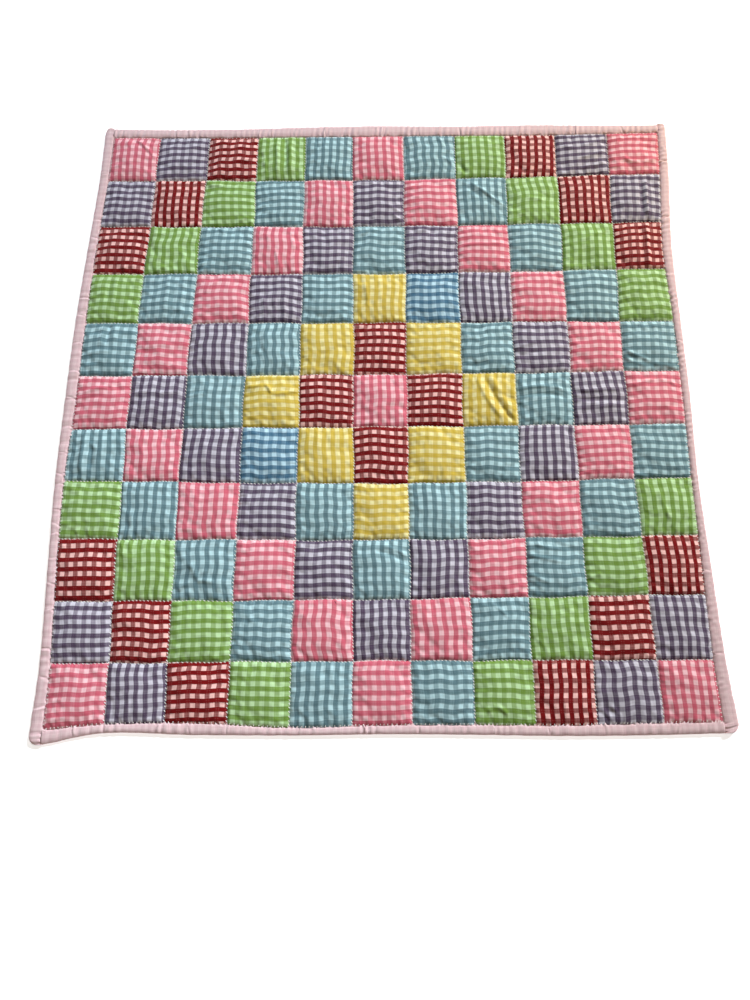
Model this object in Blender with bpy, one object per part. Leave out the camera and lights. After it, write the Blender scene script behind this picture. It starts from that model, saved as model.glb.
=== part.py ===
"""Patchwork quilt: a quilted body of 11 by 11 puffed squares in a folded binding of four strips.

Metres, +Z up. The quilt lies flat on its back, the photographed lower edge towards -Y,
and the origin is the middle of its footprint on the floor.

Places on the quilt are given as (u, v): u counts patches across from the left edge of the
patchwork, v counts patches down from its top edge. From 0 to 11 is patchwork, and the last
unit outside it, from 0 to -1 and from 11 to 12, is the width of the binding.
"""
import math

import bmesh
import bpy

MM = 0.001

# Driving dimensions
PATCHES = 11
PATCH_ACROSS = 80 * MM
PATCH_DOWN = 83 * MM
SEAM_HEIGHT = 4.0 * MM
PUFF_HEIGHT = 5.6 * MM
PUFF_UNEVENNESS = 0.16
CLOTH = 1.0 * MM
CLEARANCE = 0.3 * MM
RIM_THICKNESS = 2.4 * MM
RIM_BOTTOM = CLOTH + CLEARANCE
RIM_TOP = RIM_BOTTOM + RIM_THICKNESS
BINDING_HEIGHT = RIM_TOP + CLEARANCE + CLOTH
BACK_STEP = 2.0 * MM
SEAM_WANDER = 1.2 * MM

# The fold of a binding strip, as parts of the strip's width out from the patchwork
RIM_REACH = 0.84
FOLD_INSIDE = 0.90
MOUTH = 0.02

# Where the points of one square lie across it, as parts of the square, close by its seams
SQUARE_STEPS = (0.0, 0.1, 0.34, 0.66, 0.9)
# Roundness of a square's crown: a higher power gives a flatter top and steeper sides
CROWN_POWER = 3.0
CROWN_EDGE = 0.6
# Sections of a binding strip to one square
STRIP_STEPS = 2
# Outer face of a binding strip from its mouth to its fold: part of the width, part of the height
STRIP_FACE = ((MOUTH, 0.0), (0.45, 0.0), (0.8, 0.0), (0.95, 0.14), (1.0, 0.5))
# Where a side strip closes past the patchwork's corner: how far out, how deep its fold is
# open, and how much of its height is left
STRIP_END = ((1.0, 0.06, 0.35), (0.95, 0.06, 0.85), (0.90, 1.0, 1.0), (0.6, 1.0, 1.0), (0.3, 1.0, 1.0))

# Stations down or across the patchwork, in patches, that the tables below are read at
EDGE_PLACES = (0, 1, 2.5, 4, 5.5, 7, 8.5, 10, 11)
SEAM_PLACES = (0, 5.5, 11)

# How far each seam strays from an even grid, in mm, by its name and its stations.
# Upright seams, from left to right, are read downwards; + is to the right.
UPRIGHT_SEAMS = {
    "left edge": (9.0, 6.5, 0.0, -4.0, -5.5, -9.5, -6.0, 0.0, 0.0),
    "1 to 2": (5.5, -6.0, -0.5),
    "2 to 3": (5.5, -5.0, -2.0),
    "3 to 4": (4.0, 1.0, -0.5),
    "4 to 5": (0.0, 1.5, 0.5),
    "5 to 6": (-4.5, 0.5, 2.0),
    "6 to 7": (-3.5, -2.0, -0.5),
    "7 to 8": (-1.0, -2.0, 0.5),
    "8 to 9": (-2.0, -4.5, -1.5),
    "9 to 10": (-2.0, -4.0, -3.0),
    "10 to 11": (1.0, -6.5, 2.0),
    "right edge": (3.0, -1.0, -10.0, -6.5, -6.0, -7.0, -6.5, -6.0, -2.5),
}
# Level seams, from top to bottom, are read from the left; + is towards the top.
LEVEL_SEAMS = {
    "top edge": (1.5, 0.0, -1.5, -2.0, -2.5, -3.0, -4.0, -3.0, -2.0),
    "1 to 2": (2.0, -2.0, 3.0),
    "2 to 3": (1.0, -3.5, -0.5),
    "3 to 4": (1.0, -3.5, 1.0),
    "4 to 5": (0.5, -3.0, -4.0),
    "5 to 6": (-2.5, -3.5, -1.0),
    "6 to 7": (-3.0, -2.0, 0.0),
    "7 to 8": (3.0, -3.5, 3.0),
    "8 to 9": (2.0, -1.5, 4.0),
    "9 to 10": (-2.0, 0.0, 5.5),
    "10 to 11": (-1.5, 2.0, 3.0),
    "bottom edge": (-3.0, 4.0, 5.5, 0.0, 3.0, 3.5, 3.0, 6.0, 7.5),
}
# Width of each binding strip in mm, read along the patchwork's edge
BINDING_WIDTHS = {
    "left": (15.0, 13.5, 13.5, 15.5, 16.0, 12.5, 12.0, 14.0, 17.0),
    "right": (13.0, 14.0, 14.5, 11.0, 11.0, 9.5, 12.5, 16.5, 19.5),
    "top": (17.5, 16.5, 17.0, 20.0, 21.0, 19.0, 20.5, 16.5, 15.0),
    "bottom": (18.0, 10.5, 14.0, 9.0, 10.5, 11.5, 12.5, 14.0, 13.5),
}
# Radius in mm of the outline at each corner, by its side and its end
CORNER_RADII = {
    ("left", "top"): 9.0,
    ("right", "top"): 3.0,
    ("right", "bottom"): 13.0,
    ("left", "bottom"): 12.0,
}

# Faces that meet at more than this angle are shaded with an edge between them
SHARP_ANGLE = math.radians(40)

CLOTH_PINK = (0.86, 0.60, 0.62, 1.0)
BINDING_PINK = (0.90, 0.66, 0.68, 1.0)


def smooth_read(row, at):
    """Read a table's row at a place along the patchwork, on a smooth curve through its stations."""
    places = EDGE_PLACES if len(row) == len(EDGE_PLACES) else SEAM_PLACES
    last = len(row) - 1
    index = max(k for k in range(last) if places[k] <= at or k == 0)

    def slope(k):
        low, high = max(k - 1, 0), min(k + 1, last)
        return (row[high] - row[low]) / (places[high] - places[low])

    span = places[index + 1] - places[index]
    t = (at - places[index]) / span
    return (
        row[index] * (2 * t**3 - 3 * t**2 + 1)
        + slope(index) * span * (t**3 - 2 * t**2 + t)
        + row[index + 1] * (3 * t**2 - 2 * t**3)
        + slope(index + 1) * span * (t**3 - t**2)
    )


def between_seams(seams, across, along):
    """How far cloth strays at a place `across` the seams of a table, `along` their length."""
    rows = list(seams.values())
    index = min(int(across), PATCHES - 1)
    low = smooth_read(rows[index], along)
    high = smooth_read(rows[index + 1], along)
    return (low + (high - low) * (across - index)) * MM


def wander(u, v):
    """A small uneven stray of the sewn grid, the same on each run."""
    return SEAM_WANDER * math.sin(2.3 * u + 4.1 * v) * math.cos(1.7 * v - 0.9 * u)


def on_patchwork(u, v):
    """Plan position of a place inside the patchwork's edge."""
    x = (u - PATCHES / 2) * PATCH_ACROSS + between_seams(UPRIGHT_SEAMS, u, v)
    y = (PATCHES / 2 - v) * PATCH_DOWN + between_seams(LEVEL_SEAMS, v, u)
    inside = min(u, v, PATCHES - u, PATCHES - v, 1.0)
    return x + wander(u, v) * inside, y + wander(v, u) * inside


def nearest_sides(u, v):
    """The side and the end of the quilt that a place is nearer to."""
    side = "left" if u < PATCHES / 2 else "right"
    end = "top" if v < PATCHES / 2 else "bottom"
    return side, end


def on_square_quilt(u, v):
    """Plan position of any place on the quilt, binding included, with square corners."""
    edge_u = min(max(u, 0.0), PATCHES)
    edge_v = min(max(v, 0.0), PATCHES)
    side, end = nearest_sides(u, v)
    x, y = on_patchwork(edge_u, edge_v)
    x += (u - edge_u) * smooth_read(BINDING_WIDTHS[side], edge_v) * MM
    y -= (v - edge_v) * smooth_read(BINDING_WIDTHS[end], edge_u) * MM
    return x, y


def on_quilt(u, v):
    """Plan position of any place on the quilt, with the outline's corners rounded."""
    x, y = on_square_quilt(u, v)
    side, end = nearest_sides(u, v)
    corner_u, out_x = (-1, -1) if side == "left" else (PATCHES + 1, 1)
    corner_v, out_y = (-1, 1) if end == "top" else (PATCHES + 1, -1)
    corner_x, corner_y = on_square_quilt(corner_u, corner_v)
    radius = CORNER_RADII[side, end] * MM
    # a and b run from 0 at the middle of the round to 1 at the square outline
    a = (x - corner_x) * out_x / radius + 1
    b = (y - corner_y) * out_y / radius + 1
    if a <= 0 or b <= 0:
        return x, y
    a, b = a * math.sqrt(1 - b * b / 2), b * math.sqrt(1 - a * a / 2)
    return corner_x + (a - 1) * radius * out_x, corner_y + (b - 1) * radius * out_y


def crown(t):
    """Height of a puffed square across it, 0 at its seams and 1 in its middle."""
    return max(1 - abs(2 * t - 1) ** CROWN_POWER, 0.0) ** CROWN_EDGE


def top_height(u, v):
    """Height of the patchwork's face at a place between its edges."""
    column = min(int(u), PATCHES - 1)
    row = min(int(v), PATCHES - 1)
    fill = 1 + PUFF_UNEVENNESS * math.sin(5.0 * row + 3.1 * column) * math.cos(2.0 * row - 1.3 * column)
    edge = min(u, v, PATCHES - u, PATCHES - v, 1.0)
    seam = RIM_TOP + (SEAM_HEIGHT - RIM_TOP) * edge
    return seam + PUFF_HEIGHT * fill * crown(u - column) * crown(v - row)


def square_stations():
    """All places of points across the patchwork, its two edges included."""
    stations = [patch + step for patch in range(PATCHES) for step in SQUARE_STEPS]
    return stations + [float(PATCHES)]


def make_object(name, bm, material):
    """Put a finished bmesh into the scene as one object with its material."""
    bmesh.ops.recalc_face_normals(bm, faces=bm.faces)
    mesh = bpy.data.meshes.new(name)
    bm.to_mesh(mesh)
    bm.free()
    mesh.materials.append(material)
    mesh.shade_smooth()
    mesh.set_sharp_from_angle(angle=SHARP_ANGLE)
    obj = bpy.data.objects.new(name, mesh)
    bpy.context.scene.collection.objects.link(obj)
    return obj


def cloth_material(name, colour):
    """Matt woven cotton."""
    material = bpy.data.materials.new(name)
    material.use_nodes = True
    shader = material.node_tree.nodes["Principled BSDF"]
    shader.inputs["Base Color"].default_value = colour
    shader.inputs["Roughness"].default_value = 0.9
    shader.inputs["Metallic"].default_value = 0.0
    return material


def lattice_walk(last):
    """Index pairs once round the edge of a square lattice, corners once each."""
    top = [(i, 0) for i in range(last)]
    right = [(last, i) for i in range(last)]
    bottom = [(last - i, last) for i in range(last)]
    left = [(0, last - i) for i in range(last)]
    return top + right + bottom + left


def bridge(bm, loop, other):
    """Join two closed loops of the same length with four-sided faces."""
    for k in range(len(loop)):
        n = (k + 1) % len(loop)
        bm.faces.new((loop[k], loop[n], other[n], other[k]))


def make_quilt(material):
    """The filled body: puffed squares above, flat back below, a thin rim out into the binding."""
    bm = bmesh.new()
    stations = [-RIM_REACH] + square_stations() + [PATCHES + RIM_REACH]
    last = len(stations) - 1
    top = {}
    for i, u in enumerate(stations):
        for j, v in enumerate(stations):
            in_rim = i in (0, last) or j in (0, last)
            height = RIM_TOP if in_rim else top_height(u, v)
            top[i, j] = bm.verts.new((*on_quilt(u, v), height))
    for i in range(last):
        for j in range(last):
            bm.faces.new((top[i, j], top[i, j + 1], top[i + 1, j + 1], top[i + 1, j]))

    def lower_loop(start, height):
        """The lattice's edge drawn in to begin at `start`, at a height."""
        span = (PATCHES - 2 * start) / (PATCHES + 2 * RIM_REACH)
        places = [start + (place + RIM_REACH) * span for place in stations]
        return [bm.verts.new((*on_quilt(places[i], places[j]), height)) for i, j in lattice_walk(last)]

    edge_above = [top[i, j] for i, j in lattice_walk(last)]
    edge_below = lower_loop(-RIM_REACH, RIM_BOTTOM)
    seat = lower_loop(0.0, RIM_BOTTOM)
    back = lower_loop(BACK_STEP / PATCH_ACROSS, 0.0)
    bridge(bm, edge_above, edge_below)
    bridge(bm, edge_below, seat)
    bridge(bm, seat, back)
    bm.faces.new(back)
    return make_object("quilt", bm, material)


def strip_section(place_out, depth_open, height_left):
    """One section across a strip, as a closed loop: its outer face, then the inside of its fold."""
    middle = BINDING_HEIGHT / 2
    outside = [(part, BINDING_HEIGHT * level) for part, level in STRIP_FACE]
    outside += [(part, BINDING_HEIGHT - z) for part, z in reversed(outside[:-1])]
    inside = [(MOUTH + (min(part, FOLD_INSIDE) - MOUTH) * depth_open, CLOTH) for part, _ in STRIP_FACE]
    inside[-1] = (inside[-1][0], middle)
    inside += [(part, BINDING_HEIGHT - z) for part, z in reversed(inside[:-1])]
    points = []
    for part, z in outside + list(reversed(inside)):
        x, y = place_out(part)
        points.append((x, y, middle + (z - middle) * height_left))
    return points


def make_strip(name, side, material):
    """A binding strip folded over one edge; side strips are closed past the corners."""
    stations = [(k / STRIP_STEPS, 1.0, 1.0) for k in range(PATCHES * STRIP_STEPS + 1)]
    if side in ("left", "right"):
        stations = [(-out, depth, left) for out, depth, left in STRIP_END] + stations
        stations += [(PATCHES + out, depth, left) for out, depth, left in reversed(STRIP_END)]
    else:
        gap = CLEARANCE / PATCH_ACROSS
        stations[0] = (gap, 1.0, 1.0)
        stations[-1] = (PATCHES - gap, 1.0, 1.0)
    places = {
        "left": lambda along, part: on_quilt(-part, along),
        "right": lambda along, part: on_quilt(PATCHES + part, along),
        "top": lambda along, part: on_quilt(along, -part),
        "bottom": lambda along, part: on_quilt(along, PATCHES + part),
    }
    bm = bmesh.new()
    loops = []
    for along, depth_open, height_left in stations:
        section = strip_section(lambda part: places[side](along, part), depth_open, height_left)
        loops.append([bm.verts.new(point) for point in section])
    for loop, following in zip(loops, loops[1:]):
        bridge(bm, loop, following)
    for loop in (loops[0], loops[-1]):
        for k in range(len(loop) // 2 - 1):
            bm.faces.new((loop[k], loop[k + 1], loop[-k - 2], loop[-k - 1]))
    return make_object(name, bm, material)


def centre_on_floor(objects):
    """Bring the middle of the whole footprint to the origin; the back is already at z = 0."""
    points = [vertex.co for obj in objects for vertex in obj.data.vertices]
    middle_x = (min(p.x for p in points) + max(p.x for p in points)) / 2
    middle_y = (min(p.y for p in points) + max(p.y for p in points)) / 2
    for obj in objects:
        for vertex in obj.data.vertices:
            vertex.co.x -= middle_x
            vertex.co.y -= middle_y


def main():
    for obj in list(bpy.data.objects):
        bpy.data.objects.remove(obj, do_unlink=True)
    pieces = [make_quilt(cloth_material("quilt_cloth", CLOTH_PINK))]
    binding = cloth_material("binding_cloth", BINDING_PINK)
    for side in ("left", "right", "top", "bottom"):
        pieces.append(make_strip("binding_" + side, side, binding))
    centre_on_floor(pieces)


main()
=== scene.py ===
"""Patchwork quilt of gingham squares, dressed over its solid frame.

The top is eleven rows of eleven puffed squares, sewn edge to edge and gathered at the seams.
A padded body lies under them, and four folded strips bind the edges. Lengths are in metres,
and a name or a comment that gives millimetres says so.
"""

import math

import bpy
import numpy as np
from bpy.props import FloatProperty, FloatVectorProperty, IntProperty, PointerProperty
from mathutils import Matrix, Vector


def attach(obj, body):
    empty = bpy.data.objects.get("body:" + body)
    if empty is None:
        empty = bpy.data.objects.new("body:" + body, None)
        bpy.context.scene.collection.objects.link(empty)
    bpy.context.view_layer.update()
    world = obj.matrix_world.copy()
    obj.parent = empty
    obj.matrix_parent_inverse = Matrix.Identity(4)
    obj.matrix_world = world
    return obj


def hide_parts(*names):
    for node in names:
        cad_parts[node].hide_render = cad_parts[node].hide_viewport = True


bl_info = {
    "name": "Gingham Patchwork Quilt",
    "version": (1, 0, 0),
    "blender": (4, 5, 0),
    "location": "3D View > Sidebar > Quilt",
    "description": "A quilt of puffed gingham squares with a folded binding",
    "category": "Object",
}

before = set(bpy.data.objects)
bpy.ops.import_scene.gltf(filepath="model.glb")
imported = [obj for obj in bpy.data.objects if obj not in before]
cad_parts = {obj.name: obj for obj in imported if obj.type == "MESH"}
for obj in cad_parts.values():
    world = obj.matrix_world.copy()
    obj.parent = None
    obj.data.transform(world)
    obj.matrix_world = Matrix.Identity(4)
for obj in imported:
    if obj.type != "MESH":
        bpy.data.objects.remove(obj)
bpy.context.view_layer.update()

MM = 0.001

# The sewn grid, as in the part's own source
PATCHES = 11
PATCH_ACROSS = 80 * MM
PATCH_DOWN = 83 * MM
SEAM_WANDER = 1.2 * MM
# The middle of the whole outline, measured from the middle of the patchwork
OUTLINE_MIDDLE = (-2.61 * MM, -1.0 * MM)
EDGE_PLACES = (0, 1, 2.5, 4, 5.5, 7, 8.5, 10, 11)
SEAM_PLACES = (0, 5.5, 11)
UPRIGHT_SEAMS = {
    "left edge": (9.0, 6.5, 0.0, -4.0, -5.5, -9.5, -6.0, 0.0, 0.0),
    "1 to 2": (5.5, -6.0, -0.5),
    "2 to 3": (5.5, -5.0, -2.0),
    "3 to 4": (4.0, 1.0, -0.5),
    "4 to 5": (0.0, 1.5, 0.5),
    "5 to 6": (-4.5, 0.5, 2.0),
    "6 to 7": (-3.5, -2.0, -0.5),
    "7 to 8": (-1.0, -2.0, 0.5),
    "8 to 9": (-2.0, -4.5, -1.5),
    "9 to 10": (-2.0, -4.0, -3.0),
    "10 to 11": (1.0, -6.5, 2.0),
    "right edge": (3.0, -1.0, -10.0, -6.5, -6.0, -7.0, -6.5, -6.0, -2.5),
}
LEVEL_SEAMS = {
    "top edge": (1.5, 0.0, -1.5, -2.0, -2.5, -3.0, -4.0, -3.0, -2.0),
    "1 to 2": (2.0, -2.0, 3.0),
    "2 to 3": (1.0, -3.5, -0.5),
    "3 to 4": (1.0, -3.5, 1.0),
    "4 to 5": (0.5, -3.0, -4.0),
    "5 to 6": (-2.5, -3.5, -1.0),
    "6 to 7": (-3.0, -2.0, 0.0),
    "7 to 8": (3.0, -3.5, 3.0),
    "8 to 9": (2.0, -1.5, 4.0),
    "9 to 10": (-2.0, 0.0, 5.5),
    "10 to 11": (-1.5, 2.0, 3.0),
    "bottom edge": (-3.0, 4.0, 5.5, 0.0, 3.0, 3.5, 3.0, 6.0, 7.5),
}
BINDING_WIDTHS = {
    "left": (15.0, 13.5, 13.5, 15.5, 16.0, 12.5, 12.0, 14.0, 17.0),
    "right": (13.0, 14.0, 14.5, 11.0, 11.0, 9.5, 12.5, 16.5, 19.5),
    "top": (17.5, 16.5, 17.0, 20.0, 21.0, 19.0, 20.5, 16.5, 15.0),
    "bottom": (18.0, 10.5, 14.0, 9.0, 10.5, 11.5, 12.5, 14.0, 13.5),
}
CORNER_RADII = {
    ("left", "top"): 9.0,
    ("right", "top"): 3.0,
    ("right", "bottom"): 13.0,
    ("left", "bottom"): 12.0,
}
SEAM_HEIGHT = 4.0 * MM
RIM_TOP = 3.7 * MM
RIM_BOTTOM = 1.3 * MM
RIM_REACH = 0.84
BINDING_HEIGHT = 5.0 * MM
PUFF_HEIGHT = 5.6 * MM
CROWN_POWER = 3.0
CROWN_EDGE = 0.6

# Cloth of each square by its steps from the middle one, counted across and down together
RING_CLOTHS = ("pink", "red", "yellow", "teal", "purple", "pink", "teal", "green", "red", "purple", "pink")
# Squares that are cut from another cloth than their ring, by row and column
ODD_CLOTHS = {(4, 7): "blue", (7, 4): "blue"}
# Which way the darker stripes of each square run, a letter a column: H level, V upright
STRIPE_WAYS = (
    "VHHVVVVVVHH",
    "HVHHVHHVVVH",
    "HVHVHHHHHVH",
    "HHHHHVHVHHH",
    "HHVVVHHHHHH",
    "HVVHHVHVVVH",
    "VVVHVHHHVHH",
    "HVVHVHVHHHV",
    "HVVHHVVHHHV",
    "HHHHVVVHVHV",
    "HVHHVHHHVVV",
)


def length_property(label, text, metres):
    """A size in metres."""
    return FloatProperty(name=label, description=text, default=metres, unit="LENGTH")


def factor_property(label, text, part):
    """A plain factor."""
    return FloatProperty(name=label, description=text, default=part, subtype="FACTOR")


def colour_property(label, text, colour):
    """A colour in linear light."""
    return FloatVectorProperty(name=label, description=text, subtype="COLOR", size=4, default=colour)


class QuiltSizes(bpy.types.PropertyGroup):
    """Sizes of the quilt's cloth, gathers and checks"""

    check_repeat: length_property("Check Repeat", "One dark and one light stripe of the gingham", 12.9 * MM)
    stitch_spacing: length_property("Stitch Spacing", "Distance between gathers along a seam", 5.4 * MM)
    gather_height: length_property("Gather Height", "How far the gathers stand up", 1.8 * MM)
    gather_reach: length_property("Gather Reach", "How far the gathers run into a square", 5.6 * MM)
    groove_depth: length_property("Groove Depth", "How far the cloth rolls down into a seam", 2.0 * MM)
    groove_width: length_property("Groove Width", "How far from a seam its cloth rolls down", 1.6 * MM)
    crown_share: factor_property("Crown Share", "Part of a square's puff that is an even crown", 0.12)
    slack_share: factor_property("Slack Share", "Part of the simulated slack that is kept", 0.75)
    crease_share: factor_property("Crease Share", "Height of the hand-laid creases against their table", 1.25)
    cells: IntProperty(name="Cells", description="Faces across the top of one square", default=50)


class QuiltColours(bpy.types.PropertyGroup):
    """Colours of the quilt's cloths and of the floor"""

    pink: colour_property("Pink", "Dark checks of the pink gingham", (0.56, 0.10, 0.15, 1))
    red: colour_property("Red", "Dark checks of the red gingham", (0.17, 0.0015, 0.003, 1))
    yellow: colour_property("Yellow", "Dark checks of the yellow gingham", (0.54, 0.38, 0.05, 1))
    teal: colour_property("Teal", "Dark checks of the blue-green gingham", (0.10, 0.18, 0.21, 1))
    blue: colour_property("Blue", "Dark checks of the deeper blue gingham", (0.055, 0.14, 0.23, 1))
    purple: colour_property("Purple", "Dark checks of the purple gingham", (0.078, 0.050, 0.092, 1))
    green: colour_property("Green", "Dark checks of the green gingham", (0.15, 0.26, 0.045, 1))
    binding: colour_property("Binding", "Faint checks of the pink binding", (0.66, 0.45, 0.48, 1))
    thread: colour_property("Thread", "Sewing thread of the seams", (0.92, 0.90, 0.87, 1))
    back: colour_property("Back", "Plain cloth of the back", (0.80, 0.55, 0.58, 1))
    floor: colour_property("Floor", "Plain pale floor", (0.97, 0.97, 0.97, 1))


# Light yarn of each gingham, which takes a little of its colour
LIGHT_YARNS = {
    "pink": (0.88, 0.54, 0.58, 1),
    "red": (0.88, 0.52, 0.49, 1),
    "yellow": (0.80, 0.72, 0.36, 1),
    "teal": (0.46, 0.65, 0.70, 1),
    "blue": (0.46, 0.65, 0.76, 1),
    "purple": (0.58, 0.55, 0.63, 1),
    "green": (0.50, 0.70, 0.39, 1),
}
# How dark the stripes are each way on their own, against the squares where they cross
STRIPE_TONES = {"red": (1.06, 0.80)}
PLAIN_TONES = (0.86, 0.58)


def smooth_read(row, at):
    """Read a table's row at places along the patchwork, on a smooth curve through its stations."""
    places = np.array(EDGE_PLACES if len(row) == len(EDGE_PLACES) else SEAM_PLACES, float)
    row = np.array(row)
    last = len(row) - 1
    before = np.maximum(np.arange(last + 1) - 1, 0)
    after = np.minimum(np.arange(last + 1) + 1, last)
    slopes = (row[after] - row[before]) / (places[after] - places[before])
    k = np.clip(np.searchsorted(places, at, side="right") - 1, 0, last - 1)
    span = places[k + 1] - places[k]
    t = (at - places[k]) / span
    return (
        row[k] * (2 * t**3 - 3 * t**2 + 1)
        + slopes[k] * span * (t**3 - 2 * t**2 + t)
        + row[k + 1] * (3 * t**2 - 2 * t**3)
        + slopes[k + 1] * span * (t**3 - t**2)
    )


def between_seams(seams, across, along):
    """How far cloth strays at places `across` the seams of a table, `along` their length."""
    strays = np.array([smooth_read(row, along) for row in seams.values()])
    seam = np.clip(across.astype(int), 0, PATCHES - 1)
    here = np.arange(len(along))
    low, high = strays[seam, here], strays[seam + 1, here]
    return (low + (high - low) * (across - seam)) * MM


def wander(u, v):
    """The small uneven stray of the sewn grid."""
    return SEAM_WANDER * np.sin(2.3 * u + 4.1 * v) * np.cos(1.7 * v - 0.9 * u)


def on_patchwork(u, v):
    """Plan places inside the patchwork's edge, from patches counted across and down."""
    x = (u - PATCHES / 2) * PATCH_ACROSS + between_seams(UPRIGHT_SEAMS, u, v)
    y = (PATCHES / 2 - v) * PATCH_DOWN + between_seams(LEVEL_SEAMS, v, u)
    inside = np.minimum.reduce([u, v, PATCHES - u, PATCHES - v, np.ones_like(u)])
    return x + wander(u, v) * inside, y + wander(v, u) * inside


def on_square_quilt(u, v):
    """Plan places anywhere on the quilt, binding included, with square corners."""
    edge_u = np.clip(u, 0.0, PATCHES)
    edge_v = np.clip(v, 0.0, PATCHES)
    x, y = on_patchwork(edge_u, edge_v)
    left, right = (smooth_read(BINDING_WIDTHS[side], edge_v) for side in ("left", "right"))
    top, bottom = (smooth_read(BINDING_WIDTHS[side], edge_u) for side in ("top", "bottom"))
    x = x + (u - edge_u) * np.where(u < PATCHES / 2, left, right) * MM
    y = y - (v - edge_v) * np.where(v < PATCHES / 2, top, bottom) * MM
    return x, y


def on_quilt(u, v):
    """Plan places anywhere on the quilt, in the frame, with the outline's corners rounded."""
    x, y = on_square_quilt(u, v)
    for (side, end), radius_mm in CORNER_RADII.items():
        corner_u, out_x = (-1, -1) if side == "left" else (PATCHES + 1, 1)
        corner_v, out_y = (-1, 1) if end == "top" else (PATCHES + 1, -1)
        (corner_x,), (corner_y,) = on_square_quilt(np.array([corner_u * 1.0]), np.array([corner_v * 1.0]))
        radius = radius_mm * MM
        # a and b run from 0 at the middle of the round to 1 at the square outline
        a = (x - corner_x) * out_x / radius + 1
        b = (y - corner_y) * out_y / radius + 1
        near = (a > 0) & (b > 0) & (a < 2) & (b < 2)
        round_a = a * np.sqrt(np.maximum(1 - b * b / 2, 0))
        round_b = b * np.sqrt(np.maximum(1 - a * a / 2, 0))
        x = np.where(near, corner_x + (round_a - 1) * radius * out_x, x)
        y = np.where(near, corner_y + (round_b - 1) * radius * out_y, y)
    return x - OUTLINE_MIDDLE[0], y - OUTLINE_MIDDLE[1]


def crown(t):
    """Height of a puffed square across it, 0 at its seams and 1 in its middle."""
    return np.maximum(1 - np.abs(2 * t - 1) ** CROWN_POWER, 0.0) ** CROWN_EDGE


def uneven_line(seed, length, lowest=0.06, highest=0.16):
    """A smooth uneven line through a place in mm, from -1 to 1, the same on each run."""
    rng = np.random.default_rng(seed)
    waves = rng.uniform(lowest, highest, 4)
    starts = rng.uniform(0, 2 * math.pi, 4)
    return sum(np.sin(wave * length + start) for wave, start in zip(waves, starts)) / 4


def gather_phase(seed, along_mm, spacing_mm):
    """Stitches counted along a seam, whole at each stitch and unevenly spaced."""
    return along_mm / spacing_mm + 0.45 * uneven_line(seed, along_mm, 0.05, 0.25) + seed * 0.37


def gathers(seed, along_mm, spacing_mm):
    """Small rounded lumps between the stitches of a seam, from 0 at a stitch to 1."""
    phase = gather_phase(seed, along_mm, spacing_mm)
    size = 0.75 + 0.35 * uneven_line(seed + 7, along_mm, 0.10, 0.45)
    return np.abs(np.sin(math.pi * phase)) ** 0.75 * size


def deselect_all():
    bpy.ops.object.select_all(action="DESELECT")


def set_smooth(piece):
    piece.data.polygons.foreach_set("use_smooth", np.ones(len(piece.data.polygons), bool))


def new_piece(name, points, faces):
    """A mesh object at the origin, with its place in its points."""
    mesh = bpy.data.meshes.new(name)
    mesh.from_pydata([tuple(point) for point in points], [], [tuple(face) for face in faces])
    mesh.update()
    piece = bpy.data.objects.new(name, mesh)
    bpy.context.scene.collection.objects.link(piece)
    set_smooth(piece)
    return piece


def write_uv(piece, name, corners):
    """Give a mesh a UV map with one place for each face corner."""
    layer = piece.data.uv_layers.new(name=name)
    layer.uv.foreach_set("vector", np.asarray(corners, np.float32).ravel())


def grid_quads(index):
    """The four corners of each face between the points of a grid of numbers."""
    return np.stack([index[:-1, :-1], index[1:, :-1], index[1:, 1:], index[:-1, 1:]], -1).reshape(-1, 4)


# Cells of the simulated cloth across one square, and the frames that it is filled over
SLACK_CELLS = 16
SLACK_FRAMES = 20
SLACK_SETTINGS = {
    "vertex_group_mass": "seams",
    "quality": 4,
    "mass": 0.1,
    "tension_stiffness": 15,
    "compression_stiffness": 15,
    "shear_stiffness": 5,
    "bending_stiffness": 0.8,
    "air_damping": 2,
    "use_pressure": True,
    "uniform_pressure_force": 0.8,
    "shrink_min": -0.016,
}
# Height in mm of the cloth's puff before it is filled
SLACK_START = 2.2


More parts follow.
